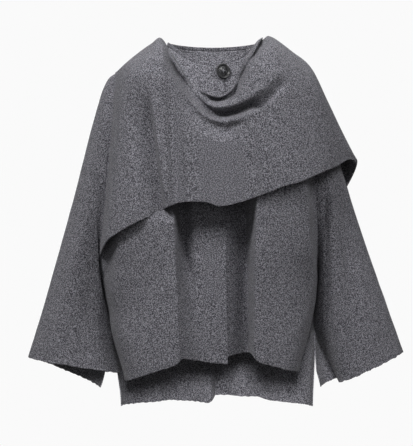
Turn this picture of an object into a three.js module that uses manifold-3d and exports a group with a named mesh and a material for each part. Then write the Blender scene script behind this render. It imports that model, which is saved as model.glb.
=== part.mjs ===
// Knit coat with a shawl panel, as it hangs on a wearer: millimetres, +Z up.
// +X is the wearer's left, -Y is the front. The origin is on the shoulder line, where the wearer
// carries the coat. "right" and "left" in names are the wearer's.

import * as THREE from 'three';
import { mergeVertices } from 'three/addons/utils/BufferGeometryUtils.js';
import Module from 'manifold-3d';

// ---------------------------------------------------------------- driving sizes

const WALL = 2.4;              // felted knit
const SEAM_INSET = 0.2;        // each sewn edge keeps this far off its seam line
const SEAM_BEVEL = 1.2;        // the inner face stops this far short of a sewn edge
const LAYER = 3.6;             // from a panel's face to the panel lying under it
const BAND_HEIGHT = 7;         // neck binding
const SHOULDER_Y = 4;          // depth of the shoulder seams
const UNDERARM_Y = 6;

const RIGHT = { sign: -1, neckX: 90, yokeX: 140, tipX: 184, underarmX: 224, underarmZ: -450 };
const LEFT = { sign: 1, neckX: 92, yokeX: 140, tipX: 186, underarmX: 206, underarmZ: -455 };
const NECK_Z = 1;
const YOKE_Z = -20;
const TIP_Z = -50;
const ARMHOLE_FRONT = 62;      // how far the armhole bows to the front and to the back
const ARMHOLE_BACK = 66;

// Places down a panel: neck, yoke, shoulder tip, three through the armhole, underarm, slit, low, hem.
const TIP = 2;
const UNDERARM = 6;
const SLIT = 7;
const LOW = 8;
const HEM = 9;

// Centre line of the front and back at each place, how square each section is there, and how far
// the back swells past the side edge.
const FRONT_CENTRE = [
  { y: -88, z: -44, square: 1.0 },
  { y: -99, z: -80, square: 1.1 },
  { y: -109, z: -130, square: 1.2 },
  { y: -113, z: -180, square: 1.2 },
  { y: -108, z: -262, square: 1.1 },
  { y: -104, z: -392, square: 1.0 },
  { y: -104, z: -450, square: 0.95 },
  { y: -104, z: -510, square: 0.95 },
  { y: -104, z: -560, square: 1.05 },
  { y: -103, z: -612, square: 1.2 },
];
const BACK_CENTRE = [
  { y: 62, z: -7, square: 1.0 },
  { y: 86, z: -50, square: 1.1 },
  { y: 100, z: -110, square: 1.2 },
  { y: 106, z: -180, square: 1.2 },
  { y: 108, z: -262, square: 1.2 },
  { y: 104, z: -392, square: 1.2 },
  { y: 100, z: -450, square: 1.2 },
  { y: 97, z: -510, square: 1.3 },
  { y: 94, z: -560, square: 1.4 },
  { y: 92, z: -695, square: 1.4 },
];

// How far the back swells past its side edges below the underarm, by height.
const SIDE_SLACK = [
  { z: -455, swell: 0 }, { z: -470, swell: 0.1 }, { z: -488, swell: 0.15 },
  { z: -508, swell: 0.15 }, { z: -532, swell: 0.12 }, { z: -556, swell: 0 },
];

// Side edges below the underarm: sewn down to the slit, then parted.
const SIDE_EDGES = {
  rightFront: [[-207, 4, -506], [-196, -8, -560], [-172, -30, -646]],
  rightBack: [[-207, 4, -506], [-197, 18, -560], [-181, 42, -704]],
  leftFront: [[199, 4, -506], [187, -6, -560], [167, -30, -629]],
  leftBack: [[199, 4, -506], [201, 18, -560], [197, 42, -705]],
};

// Opening: the right front laps over the left front.
const OPENING = { overTop: 20, overHem: 28, underTop: -24, underHem: -26 };

// Folds that run down the panels: the depth (negative stands forward), the reach to each side, and
// the heights between which the fold grows to its full depth. A fold has one line, or two edges
// with a flat top between them and a reach to the right that changes with height.
const FRONT_FOLDS = [
  { depth: -40, left: 26, startZ: -285, fullZ: -345, edges: [
    { z: -300, from: -165, to: -80, right: 16 }, { z: -345, from: -172, to: -75, right: 16 },
    { z: -400, from: -180, to: -72, right: 20 }, { z: -470, from: -187, to: -70, right: 34 },
    { z: -560, from: -179, to: -66, right: 42 }, { z: -646, from: -157, to: -62, right: 38 } ] },
  { depth: 21, left: 14, right: 26, startZ: -200, fullZ: -290, line: [
    { z: -300, x: -64 }, { z: -400, x: -62 }, { z: -640, x: -56 } ] },
  { depth: 24, left: 38, right: 12, startZ: -220, fullZ: -300, line: [
    { z: -300, x: 62 }, { z: -640, x: 66 } ] },
  { depth: -42, left: 14, startZ: -180, fullZ: -260, edges: [
    { z: -250, from: 84, to: 168, right: 24 }, { z: -332, from: 82, to: 182, right: 24 },
    { z: -440, from: 80, to: 190, right: 24 }, { z: -503, from: 79, to: 183, right: 24 },
    { z: -629, from: 78, to: 152, right: 24 } ] },
];
const BACK_FOLDS = [
  { depth: -24, left: 50, right: 16, startZ: -430, fullZ: -700, line: [
    { z: -400, x: -6 }, { z: -700, x: -6 } ] },
  { depth: -14, left: 32, right: 34, startZ: -380, fullZ: -700, line: [
    { z: -400, x: 60 }, { z: -700, x: 56 } ] },
  { depth: -12, left: 34, right: 40, startZ: -300, fullZ: -600, line: [
    { z: -300, x: -108 }, { z: -700, x: -118 } ] },
  { depth: -9, left: 26, right: 30, startZ: -300, fullZ: -600, line: [
    { z: -300, x: 122 }, { z: -700, x: 128 } ] },
];

// Hem height across each panel.
const RIGHT_FRONT_HEM = [
  { x: -170, z: -646 }, { x: -120, z: -629 }, { x: -69, z: -611 }, { x: -57, z: -600 },
  { x: -25, z: -606 }, { x: 4, z: -611 }, { x: 28, z: -613 },
];
const LEFT_FRONT_HEM = [
  { x: -26, z: -600 }, { x: 28, z: -598 }, { x: 51, z: -593 }, { x: 72, z: -591 },
  { x: 84, z: -606 }, { x: 109, z: -614 }, { x: 167, z: -629 },
];
const BACK_HEM = [
  { x: -181, z: -704 }, { x: -85, z: -697 }, { x: -30, z: -699 }, { x: -6, z: -701 },
  { x: 6, z: -686 }, { x: 90, z: -690 }, { x: 112, z: -697 }, { x: 197, z: -705 },
];

// Sleeve rings from the armhole to the cuff: the overarm and underarm lines and the depth of each half.
const RIGHT_SLEEVE = [
  { overX: -184, overZ: -50, underX: -224, underZ: -450, front: 62, back: 66 },
  { overX: -204, overZ: -63, underX: -225, underZ: -461, front: 62, back: 66 },
  { overX: -219, overZ: -99, underX: -224.5, underZ: -472, front: 61, back: 65 },
  { overX: -239, overZ: -167, underX: -219, underZ: -488, front: 60, back: 64 },
  { overX: -260.5, overZ: -253, underX: -211, underZ: -508, front: 58, back: 62 },
  { overX: -284.5, overZ: -344, underX: -204, underZ: -532, front: 56, back: 60 },
  { overX: -315, overZ: -452, underX: -198.5, underZ: -556, front: 54, back: 58 },
  { overX: -338, overZ: -532, underX: -194, underZ: -598, front: 53, back: 57 },
  { overX: -361, overZ: -606, underX: -188, underZ: -638, front: 52, back: 56 },
];
const LEFT_SLEEVE = [
  { overX: 186, overZ: -50, underX: 206, underZ: -455, front: 62, back: 66 },
  { overX: 200, overZ: -77, underX: 208.5, underZ: -463, front: 62, back: 66 },
  { overX: 214, overZ: -118, underX: 208.5, underZ: -472, front: 61, back: 65 },
  { overX: 234, overZ: -175, underX: 206.5, underZ: -486, front: 60, back: 64 },
  { overX: 249, overZ: -232, underX: 203.5, underZ: -504, front: 58, back: 62 },
  { overX: 269.5, overZ: -300, underX: 202.5, underZ: -528, front: 56, back: 60 },
  { overX: 299, overZ: -390, underX: 203, underZ: -556, front: 54, back: 58 },
  { overX: 333, overZ: -487, underX: 222, underZ: -602, front: 53, back: 57 },
  { overX: 371, overZ: -595, underX: 244, underZ: -653, front: 52, back: 56 },
];
// The inner seam opens at ring 6, and each slit edge moves off the underarm line from there.
const RIGHT_SLIT = {
  front: [{ ring: 6, x: 0, y: 0, z: 0 }, { ring: 7, x: 3, y: -10, z: 2 }, { ring: 8, x: 8, y: -26, z: 5 }],
  back: [
    { ring: 6, x: 0, y: 0, z: 0 }, { ring: 7, x: -13, y: 15, z: -11 },
    { ring: 8, x: -33, y: 36, z: -30 } ],
};
const LEFT_SLIT = {
  front: [{ ring: 6, x: 0, y: 0, z: 0 }, { ring: 7, x: 0, y: -10, z: 0 }, { ring: 8, x: 0, y: -26, z: 0 }],
  back: [
    { ring: 6, x: 0, y: 0, z: 0 }, { ring: 6.5, x: -11, y: 10, z: 0 },
    { ring: 7, x: -20.5, y: 19, z: -1 }, { ring: 7.5, x: -31, y: 26, z: -5 },
    { ring: 8, x: -33, y: 32, z: -13 } ],
};
// Soft ridge down the front of the left sleeve.
const SLEEVE_FOLDS = [
  { depth: -8, left: 20, right: 30, startZ: -250, fullZ: -340, line: [
    { z: -250, x: 226 }, { z: -600, x: 240 } ] },
];

// Shawl panel: each row is a line down the cloth, from its upper edge to its lower edge, and the
// drop over which it turns from the top of the shoulder to the front.
const SHAWL = [
  { x: -188, y: -2, z: -46.5, lowX: -221, lowY: -44, lowZ: -412, turn: 50, roll: 7 },
  { x: -167, y: 0, z: -29, lowX: -202, lowY: -107, lowZ: -378, turn: 52, roll: 8 },
  { x: -142, y: 2, z: -11, lowX: -165, lowY: -134, lowZ: -353, turn: 62, roll: 8 },
  { x: -119, y: 2, z: 5.5, lowX: -120, lowY: -144, lowZ: -331, turn: 78, roll: 8 },
  { x: -101, y: -5, z: 15.5, lowX: -92, lowY: -148, lowZ: -317, turn: 90, roll: 7 },
  { x: -78, y: -68, z: -18, lowX: -68, lowY: -151, lowZ: -307, turn: 95, roll: 3 },
  { x: -45, y: -104, z: -66, lowX: -44, lowY: -152, lowZ: -304, turn: 95, roll: 0 },
  { x: -12, y: -122, z: -95, lowX: -16, lowY: -153, lowZ: -305, turn: 95, roll: 0 },
  { x: 17, y: -128, z: -102, lowX: 14, lowY: -153, lowZ: -312, turn: 95, roll: 0 },
  { x: 46, y: -110, z: -72, lowX: 56, lowY: -153, lowZ: -304, turn: 95, roll: 0 },
  { x: 68, y: -78, z: -20, lowX: 94, lowY: -151, lowZ: -290, turn: 95, roll: 0 },
  { x: 91, y: -24, z: 13, lowX: 128, lowY: -148, lowZ: -277, turn: 95, roll: 0 },
  { x: 113, y: -2, z: 18, lowX: 164, lowY: -138, lowZ: -266, turn: 95, roll: 0 },
  { x: 152, y: 2, z: -9, lowX: 197, lowY: -118, lowZ: -252, turn: 90, roll: 0 },
  { x: 190, y: 2, z: -41, lowX: 224, lowY: -94, lowZ: -241, turn: 80, roll: 0 },
  { x: 222, y: 4, z: -104, lowX: 243, lowY: -70, lowZ: -232, turn: 70, roll: 0 },
  { x: 248, y: 6, z: -158, lowX: 260, lowY: -44, lowZ: -222, turn: 45, roll: 0 },
  { x: 268, y: 8, z: -197, lowX: 272, lowY: -22, lowZ: -222, turn: 20, roll: 0 },
  { x: 280, y: 10, z: -219, lowX: 281, lowY: 0, lowZ: -229, turn: 8, roll: 0 },
];
const TURN_SHARE = 0.45;       // share of the rows spent on that turn
const ROLL_SHARE = 0.07;       // share of the rows spent on the roll back to the seam
const SHAWL_ROLL_ANGLE = 1.2;

// Cowl folds that run across the shawl: a line, a depth and the reach above and below it.
const COWL_FOLDS = [
  { depth: 6, above: 10, below: 15, line: [
    { x: -60, z: -64 }, { x: -25, z: -96 }, { x: 8, z: -112 }, { x: 30, z: -106 }, { x: 50, z: -80 } ] },
  { depth: 21, above: 20, below: 24, line: [
    { x: -96, z: -14 }, { x: -72, z: -58 }, { x: -44, z: -94 }, { x: -15, z: -123 },
    { x: 16, z: -134 }, { x: 50, z: -126 }, { x: 92, z: -100 }, { x: 126, z: -80 }, { x: 164, z: -60 } ] },
  { depth: 9, above: 22, below: 22, line: [
    { x: -91, z: -68 }, { x: -53, z: -126 }, { x: -15, z: -158 }, { x: 22, z: -173 }, { x: 92, z: -156 } ] },
];
// Pleat that runs down the shawl, with a shallow trough on the armhole side.
const SHAWL_PLEAT = { topX: -124, hemX: -95, topZ: -100, hemZ: -318, depth: 12, left: 44, right: 22 };

// Shawl end over the left shoulder and down the back: each line from the shoulder to where it has
// turned down the back, how far it stands out on the way, and its lower edge.
const TAIL = [
  { x: 93, y: -16, z: 13, backX: 84, backY: 116, backZ: -150, lowX: 62, lowY: 120, lowZ: -432, bulge: 0 },
  { x: 113, y: 6, z: 18, backX: 116, backY: 115, backZ: -160, lowX: 98, lowY: 122, lowZ: -436, bulge: 0 },
  { x: 152, y: 8, z: -9, backX: 152, backY: 110, backZ: -176, lowX: 136, lowY: 118, lowZ: -440, bulge: 0 },
  { x: 190, y: 8, z: -41, backX: 188, backY: 102, backZ: -196, lowX: 172, lowY: 112, lowZ: -444, bulge: 0 },
  { x: 222, y: 9, z: -104, backX: 216, backY: 94, backZ: -222, lowX: 202, lowY: 100, lowZ: -448, bulge: 0 },
  { x: 248, y: 11, z: -158, backX: 241, backY: 84, backZ: -254, lowX: 226, lowY: 90, lowZ: -450, bulge: 2 },
  { x: 268, y: 13, z: -197, backX: 252, backY: 77, backZ: -282, lowX: 237, lowY: 84, lowZ: -452, bulge: 5 },
  { x: 280, y: 15, z: -221, backX: 250, backY: 72, backZ: -300, lowX: 240, lowY: 80, lowZ: -454, bulge: 9 },
];
const TAIL_FOLDS = [
  { depth: 9, left: 20, right: 24, startZ: -150, fullZ: -380, line: [
    { z: -150, x: 106 }, { z: -430, x: 92 } ] },
  { depth: 9, left: 24, right: 22, startZ: -190, fullZ: -400, line: [
    { z: -190, x: 174 }, { z: -440, x: 158 } ] },
];

const BUTTON = {
  radius: 15, thick: 4, rim: 2.6, dish: 1.1, holeRadius: 1.3, holeOffset: 3.1,
  x: 17, drop: 23, standOff: 3.6, yaw: 24, pitch: 9,
};

const COLOURS = { cloth: 0x5a5b61, shawl: 0x5c5d63, band: 0x55565c, button: 0x2b2725 };

// ---------------------------------------------------------------- small helpers

const lerp = THREE.MathUtils.lerp;
const clamp = THREE.MathUtils.clamp;
const smooth = (value, low, high) => THREE.MathUtils.smoothstep(value, low, high);
const radians = THREE.MathUtils.degToRad;

// Value that a line has where its other column reaches a place, straight between its rows.
function along(line, at, from = 'x', to = 'z') {
  const rising = line[line.length - 1][from] > line[0][from];
  const next = line.findIndex((row) => (rising ? row[from] >= at : row[from] <= at));
  if (next === 0) return line[0][to];
  if (next < 0) return line[line.length - 1][to];
  const a = line[next - 1];
  const b = line[next];
  return lerp(a[to], b[to], (at - a[from]) / (b[from] - a[from]));
}

// Value of one column of a table at a fractional row, rounded through the rows.
function columnAt(rows, key, place) {
  const at = clamp(place, 0, rows.length - 1);
  const i = Math.min(Math.floor(at), rows.length - 2);
  const value = (k) => rows[clamp(k, 0, rows.length - 1)][key];
  const t = at - i;
  const slopeA = (value(i + 1) - value(i - 1)) / 2;
  const slopeB = (value(i + 2) - value(i)) / 2;
  const t2 = t * t;
  const t3 = t2 * t;
  return (2 * t3 - 3 * t2 + 1) * value(i) + (t3 - 2 * t2 + t) * slopeA
    + (3 * t2 - 2 * t3) * value(i + 1) + (t3 - t2) * slopeB;
}

// Height of a fold's section at a signed distance from its line.
function swell(distance, before, after) {
  const share = distance < 0 ? -distance / before : distance / after;
  return share >= 1 ? 0 : (1 - share * share) ** 2;
}

// Share of a fold's depth across the panel at one height.
function foldSection(fold, x, z) {
  if (fold.line) return swell(x - along(fold.line, z, 'z', 'x'), fold.left, fold.right);
  const from = along(fold.edges, z, 'z', 'from');
  const to = along(fold.edges, z, 'z', 'to');
  const right = along(fold.edges, z, 'z', 'right');
  return smooth(x, from - fold.left, from) * (1 - smooth(x, to, to + right));
}

// Depth of the folds that run down a panel.
function foldsDown(folds, x, z) {
  return folds.reduce((sum, fold) => {
    const grown = smooth(-z, -fold.startZ, -fold.fullZ);
    return sum + fold.depth * grown * foldSection(fold, x, z);
  }, 0);
}

const steps = (count) => Array.from({ length: count + 1 }, (_, i) => i / count);

// Steps from 0 to 1 in stretches, each with its own count.
function stretches(rows) {
  const from = (i) => (i === 0 ? 0 : rows[i - 1].to);
  return [0].concat(rows.flatMap(
    (row, i) => steps(row.count).slice(1).map((s) => lerp(from(i), row.to, s))));
}

// ---------------------------------------------------------------- cloth walls

// A wall of cloth: the outer face is surface(u, v, folded) with u to the right and v down as seen
// from outside. The inner face is one wall behind it, square to the unfolded surface, so that it
// can't cross the outer face in a fold. Sewn edges stop short of the seam.
function clothWall(name, surface, us, vs, sewn, colour) {
  const box = new THREE.BoxGeometry(1, 1, 1, us.length - 1, vs.length - 1, 1);
  const spot = box.attributes.position;
  for (let i = 0; i < spot.count; i += 1) {
    const column = Math.round((spot.getX(i) + 0.5) * (us.length - 1));
    const row = Math.round((0.5 - spot.getY(i)) * (vs.length - 1));
    const u = us[column];
    const v = vs[row];
    const uLow = lerp(u, us[Math.max(column - 1, 0)], 0.5);
    const uHigh = lerp(u, us[Math.min(column + 1, us.length - 1)], 0.5);
    const vLow = lerp(v, vs[Math.max(row - 1, 0)], 0.5);
    const vHigh = lerp(v, vs[Math.min(row + 1, vs.length - 1)], 0.5);
    const across = surface(uHigh, v, false).sub(surface(uLow, v, false));
    const down = surface(u, vHigh, false).sub(surface(u, vLow, false));
    const outward = down.clone().cross(across).normalize();
    const inner = spot.getZ(i) < 0;
    const back = inner ? SEAM_BEVEL : SEAM_INSET;
    const point = surface(u, v, true);
    const uShift = (u === 0 && sewn.left ? back : 0) - (u === 1 && sewn.right ? back : 0);
    const vShift = (v === 0 && sewn.top ? back : 0) - (v === 1 && sewn.bottom ? back : 0);
    // Off the seam means square to it, and a hair inward where two walls fold back to back.
    point.addScaledVector(squareTo(across, down), uShift);
    point.addScaledVector(squareTo(down, across), vShift);
    if (uShift !== 0 || vShift !== 0) point.addScaledVector(outward, -SEAM_INSET);
    if (inner) point.addScaledVector(outward, -WALL);
    spot.setXYZ(i, point.x, point.y, point.z);
  }
  splitShort(box);
  return solidMesh(name, box, colour, 1.0);
}

// Splits each cell along its shorter diagonal, so that slanting folds aren't notched.
function splitShort(box) {
  const spot = box.attributes.position;
  const corner = (i) => new THREE.Vector3().fromBufferAttribute(spot, i);
  for (let i = 0; i < box.index.count; i += 6) {
    const [a, b, d, , c] = box.index.array.slice(i, i + 6);
    if (corner(a).distanceTo(corner(c)) < corner(b).distanceTo(corner(d))) {
      box.index.array.set([a, b, c, a, c, d], i);
    }
  }
}

function squareTo(direction, edge) {
  const along = edge.clone().normalize();
  return direction.clone().addScaledVector(along, -direction.dot(along)).normalize();
}

function solidMesh(name, geometry, colour, roughness) {
  geometry.deleteAttribute('normal');
  geometry.deleteAttribute('uv');
  const merged = mergeVertices(geometry, 1e-4);
  merged.computeVertexNormals();
  const material = new THREE.MeshStandardMaterial({ color: colour, roughness, metalness: 0 });
  const mesh = new THREE.Mesh(merged, material);
  mesh.name = name;
  return mesh;
}

// ---------------------------------------------------------------- body panels

// Point of the armhole at an angle from the shoulder tip round to the underarm.
function armhole(side, face, angle) {
  const fall = (1 - Math.cos(angle)) / 2;
  const bow = face === 'front' ? -ARMHOLE_FRONT : ARMHOLE_BACK;
  return new THREE.Vector3(
    side.sign * lerp(side.tipX, side.underarmX, fall),
    lerp(SHOULDER_Y, UNDERARM_Y, fall) + bow * Math.sin(angle),
    lerp(TIP_Z, side.underarmZ, fall));
}

// The named points down a side edge, from the neck to the hem.
function sideCorners(side, face) {
  const edge = (side === RIGHT ? 'right' : 'left') + (face === 'front' ? 'Front' : 'Back');
  const corners = [
    new THREE.Vector3(side.sign * side.neckX, SHOULDER_Y, NECK_Z),
    new THREE.Vector3(side.sign * side.yokeX, SHOULDER_Y, YOKE_Z),
  ];
  for (let i = TIP; i <= UNDERARM; i += 1) {
    corners.push(armhole(side, face, (i - TIP) * Math.PI / 4));
  }
  return corners.concat(SIDE_EDGES[edge].map((p) => new THREE.Vector3(...p)));
}

const sideCurves = new Map();
for (const side of [RIGHT, LEFT]) {
  for (const face of ['front', 'back']) {
    sideCurves.set(`${side.sign}${face}`, new THREE.CatmullRomCurve3(sideCorners(side, face)));
  }
}

// The sewn edge itself: the rounded curve, but true to the armhole between tip and underarm.
function sideEdge(side, face, place) {
  const curve = sideCurves.get(`${side.sign}${face}`);
  const rounded = curve.getPoint(clamp(place / HEM, 0, 1));
  const sewn = rounded.clone();
  if (place > TIP && place < UNDERARM) {
    sewn.copy(armhole(side, face, (place - TIP) * Math.PI / 4));
  } else if (place < SLIT) {
    const from = Math.floor(place);
    sewn.lerpVectors(curve.points[from], curve.points[from + 1], place - from);
  }
  return { rounded, sewn };
}

// Share of the way from side to centre that a section has come at an angle.
const bow = (angle, square) => 1 - (1 - Math.sin(angle)) ** square;

// Each section is part of one round of the body. Above the underarm the armhole cuts it off, at the
// angle where it has come as far forward or back as the armhole has.
function cutAngle(centre, place, edgeY) {
  if (place <= TIP || place >= UNDERARM) return 0;
  const sideY = lerp(SHOULDER_Y, UNDERARM_Y, (place - TIP) / (UNDERARM - TIP));
  const share = clamp((edgeY - sideY) / (columnAt(centre, 'y', place) - sideY), 0, 1);
  return Math.asin(1 - (1 - share) ** (1 / columnAt(centre, 'square', place)));
}

// Section angle where the front reaches x, at a place down the body.
function angleAt(side, place, x) {
  const edge = sideEdge(side, 'front', place).rounded;
  const cut = cutAngle(FRONT_CENTRE, place, edge.y);
  const share = Math.abs(x) * Math.cos(cut) / Math.abs(edge.x);
  return (Math.acos(share) - cut) / (Math.PI / 2 - cut);
}

// Point of the body: across runs from -1 at the right side edge to 1 at the left side edge.
function bodyPoint(face, across, place, folds, hem) {
  const side = across < 0 ? RIGHT : LEFT;
  const inward = 1 - Math.abs(across);
  const { rounded, sewn } = sideEdge(side, face, place);
  const centre = face === 'front' ? FRONT_CENTRE : BACK_CENTRE;
  const cut = cutAngle(centre, place, rounded.y);
  const square = columnAt(centre, 'square', place);
  const angle = lerp(cut, Math.PI / 2, inward);
  const rise = (bow(angle, square) - bow(cut, square)) / (1 - bow(cut, square));
  const fall = (Math.sin(angle) ** 2 - Math.sin(cut) ** 2) / Math.cos(cut) ** 2;
  const slack = face === 'back' ? along(SIDE_SLACK, rounded.z, 'z', 'swell') : 0;
  const x = rounded.x * (1 + slack * Math.sin(2 * angle) ** 2) * Math.cos(angle) / Math.cos(cut);
  const y = lerp(rounded.y, columnAt(centre, 'y', place), rise);
  const z = lerp(rounded.z, columnAt(centre, 'z', place), fall);
  const point = new THREE.Vector3(x, y, z);
  point.addScaledVector(sewn.sub(rounded), (1 - inward) ** 6);
  if (place > LOW) {
    const lowZ = lerp(sideEdge(side, face, LOW).rounded.z, centre[LOW].z, fall);
    point.z = lerp(lowZ, along(hem, point.x), place - LOW);
  }
  point.y += smooth(inward, 0, 0.14) * foldsDown(folds, point.x, point.z);
  return point;
}

// The right front runs over the left front as far as the opening edge.
function rightFront(u, place, folded) {
  const reach = 1 - angleAt(LEFT, place, lerp(OPENING.overTop, OPENING.overHem, place / HEM));
  return bodyPoint('front', lerp(-1, reach, u), place, folded ? FRONT_FOLDS : [], RIGHT_FRONT_HEM);
}

// The left front starts behind the right front, one layer in.
function leftFront(u, place, folded) {
  const start = angleAt(RIGHT, place, lerp(OPENING.underTop, OPENING.underHem, place / HEM)) - 1;
  const folds = folded ? FRONT_FOLDS : [];
  const point = bodyPoint('front', lerp(start, 1, u), place, folds, LEFT_FRONT_HEM);
  const inset = LAYER * (1 - smooth(point.x, 30, 54));
  point.y += inset;
  return point;
}

const backPanel = (u, place, folded) => bodyPoint(
  'back', 1 - 2 * u, place, folded ? BACK_FOLDS : [], BACK_HEM);

// Rows of a body panel, as places: close through the armhole.
const BODY_ROWS = [0, 0.5, 1, 1.5]
  .concat(steps(11).map((s) => lerp(TIP, UNDERARM, s)), [6.5, 7, 7.5, 8, 8.35, 8.7, 9])
  .map((place) => place / HEM);

// Columns of the fronts: close where the folds are.
const RIGHT_FRONT_COLUMNS = [
  { to: 0.12, count: 2 }, { to: 0.56, count: 12 }, { to: 0.8, count: 10 }, { to: 1, count: 4 },
];
const LEFT_FRONT_COLUMNS = [
  { to: 0.16, count: 3 }, { to: 0.4, count: 9 }, { to: 0.88, count: 14 }, { to: 1, count: 2 },
];

function bodyPanels() {
  const down = (shape) => (u, v, folded) => shape(u, v * HEM, folded);
  return [
    clothWall('front_right', down(rightFront), stretches(RIGHT_FRONT_COLUMNS), BODY_ROWS,
      { left: true, top: true }, COLOURS.cloth),
    clothWall('front_left', down(leftFront), stretches(LEFT_FRONT_COLUMNS), BODY_ROWS,
      { right: true, top: true }, COLOURS.cloth),
    clothWall('back', down(backPanel), steps(24), BODY_ROWS,
      { left: true, right: true, top: true }, COLOURS.cloth),
  ];
}

// ---------------------------------------------------------------- neck binding

// The binding starts on the left front's lap, goes round the left shoulder, the back and the right
// shoulder, and ends on the right front's opening edge.
function neckBand() {
  const start = angleAt(RIGHT, 0, OPENING.underTop) - 1;
  const end = 1 - angleAt(LEFT, 0, OPENING.overTop);
  const frontLength = 1 - start;
  const total = frontLength + 2 + 1 + end;
  const surface = (u, v) => {
    const way = u * total;
    let point;
    if (way < frontLength) {
      point = leftFront(way / frontLength, 0);
    } else if (way < frontLength + 2) {
      point = backPanel((way - frontLength) / 2, 0);
    } else {
      point = rightFront((way - frontLength - 2) / (1 + end), 0);
    }
    const rise = SEAM_INSET + (1 - v) * BAND_HEIGHT;
    const lean = new THREE.Vector2(point.x, point.y).normalize().multiplyScalar(-0.18 * rise);
    return point.add(new THREE.Vector3(lean.x, lean.y, rise));
  };
  return clothWall('neckband', surface, steps(44), steps(1), { bottom: true }, COLOURS.band);
}

// ---------------------------------------------------------------- sleeves

// Point of a sleeve half: angle runs from the overarm line to the underarm line.
function sleevePoint(rings, slit, face, angle, ring) {
  const value = (key) => columnAt(rings, key, ring);
  const apart = (key) => along(slit[face], ring, 'ring', key);
  const over = new THREE.Vector3(value('overX'), SHOULDER_Y, value('overZ'));
  const under = new THREE.Vector3(value('underX'), UNDERARM_Y, value('underZ'));
  under.add(new THREE.Vector3(apart('x'), apart('y'), apart('z')));
  const bow = face === 'front' ? -value('front') : value('back');
  const point = over.lerp(under, (1 - Math.cos(angle)) / 2);
  point.y += bow * Math.sin(angle);
  return point;
}

function sleeveHalf(name, rings, slit, face, folds) {
  const fromOver = (rings === RIGHT_SLEEVE) === (face === 'front');
  const surface = (u, v, folded) => {
    const angle = Math.PI * (fromOver ? u : 1 - u);
    const point = sleevePoint(rings, slit, face, angle, v * (rings.length - 1));
    if (folded) point.y += Math.sin(angle) * foldsDown(folds, point.x, point.z);
    return point;
  };
  const rows = [0, 0.5].concat(steps(14).map((s) => lerp(1, rings.length - 1, s)))
    .map((ring) => ring / (rings.length - 1));
  return clothWall(name, surface, steps(11), rows, { left: true, right: true, top: true },
    COLOURS.cloth);
}

function sleeves() {
  return [
    sleeveHalf('sleeve_right_front', RIGHT_SLEEVE, RIGHT_SLIT, 'front', []),
    sleeveHalf('sleeve_right_back', RIGHT_SLEEVE, RIGHT_SLIT, 'back', []),
    sleeveHalf('sleeve_left_front', LEFT_SLEEVE, LEFT_SLIT, 'front', SLEEVE_FOLDS),
    sleeveHalf('sleeve_left_back', LEFT_SLEEVE, LEFT_SLIT, 'back', []),
  ];
}

// ---------------------------------------------------------------- shawl panel

// Depth that the cowl folds press into the shawl.
function cowlDepth(x, z) {
  return COWL_FOLDS.reduce((sum, fold) => {
    const first = fold.line[0].x;
    const last = fold.line[fold.line.length - 1].x;
    const lineZ = along(fold.line, x);
    const slope = (along(fold.line, x + 6) - along(fold.line, x - 6)) / 12;
    const distance = (lineZ - z) / Math.hypot(1, slope);
    const fade = smooth(x, first + 14, first + 70) * (1 - smooth(x, last - 60, last + 4));
    return sum + fold.depth * fade * swell(distance, fold.above, fold.below);
  }, 0);
}

function pleatDepth(x, z) {
  const pleat = SHAWL_PLEAT;
  const share = (pleat.topZ - z) / (pleat.topZ - pleat.hemZ);
  const distance = x - lerp(pleat.topX, pleat.hemX, share);
  return pleat.depth * smooth(share, -0.12, 0.35) * swell(distance, pleat.left, pleat.right);
}

function shawlFront(u, way, folded) {
  const place = u * (SHAWL.length - 1);
  const value = (key) => columnAt(SHAWL, key, place);
  const v = Math.max((way - ROLL_SHARE) / (1 - ROLL_SHARE), 0);
  const top = new THREE.Vector3(value('x'), value('y'), value('z'));
  const low = new THREE.Vector3(value('lowX'), value('lowY'), value('lowZ'));
  const length = top.z - low.z;
  const turn = value('turn');
  const turned = clamp(v / TURN_SHARE, 0, 1) * Math.PI / 2;
  const rest = clamp((v - TURN_SHARE) / (1 - TURN_SHARE), 0, 1);
  const drop = turn * (1 - Math.cos(turned)) + (length - turn) * rest;
  const point = top.clone().lerp(low, drop / length);
  point.y = lerp(top.y, low.y, Math.sin(turned));
  // The first rows roll back from the shoulder line to the seam.
  const rolled = Math.max(1 - way / ROLL_SHARE, 0) * SHAWL_ROLL_ANGLE;
  point.y += value('roll') * Math.sin(rolled);
  point.z -= value('roll') * (1 - Math.cos(rolled));
  if (folded) point.y += cowlDepth(point.x, point.z) + pleatDepth(point.x, point.z);
  // The first line follows the armhole, one layer off it.
  const follow = 1 - smooth(place, 0, 0.7);
  if (follow > 0) {
    const fall = clamp((TIP_Z - point.z) / (TIP_Z - RIGHT.underarmZ), 0, 1);
    const seamY = armhole(RIGHT, 'front', Math.acos(1 - 2 * fall)).y;
    point.y = lerp(point.y, seamY - 1.6 * LAYER, follow);
  }
  return point;
}

function shawlTail(u, v, folded) {
  const place = (1 - u) * (TAIL.length - 1);
  const value = (key) => columnAt(TAIL, key, place);
  const rows = [['x', 'y', 'z'], ['backX', 'backY', 'backZ'], ['lowX', 'lowY', 'lowZ']];
  const [top, turn, low] = rows.map((keys) => new THREE.Vector3(...keys.map(value)));
  if (v < TURN_SHARE) {
    const angle = v / TURN_SHARE * Math.PI / 2;
    const point = top.clone().lerp(turn, 1 - Math.cos(angle));
    point.y = lerp(top.y, turn.y, Math.sin(angle));
    point.x += value('bulge') * Math.sin(2 * angle);
    return point;
  }
  const point = turn.lerp(low, (v - TURN_SHARE) / (1 - TURN_SHARE));
  if (folded) point.y += foldsDown(TAIL_FOLDS, point.x, point.z);
  return point;
}

function shawl() {
  return [
    clothWall('scarf_front', shawlFront, steps(40), steps(28), { left: true }, COLOURS.shawl),
    clothWall('scarf_back', shawlTail, steps(16), steps(14), {}, COLOURS.shawl),
  ];
}

// ---------------------------------------------------------------- button

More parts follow.
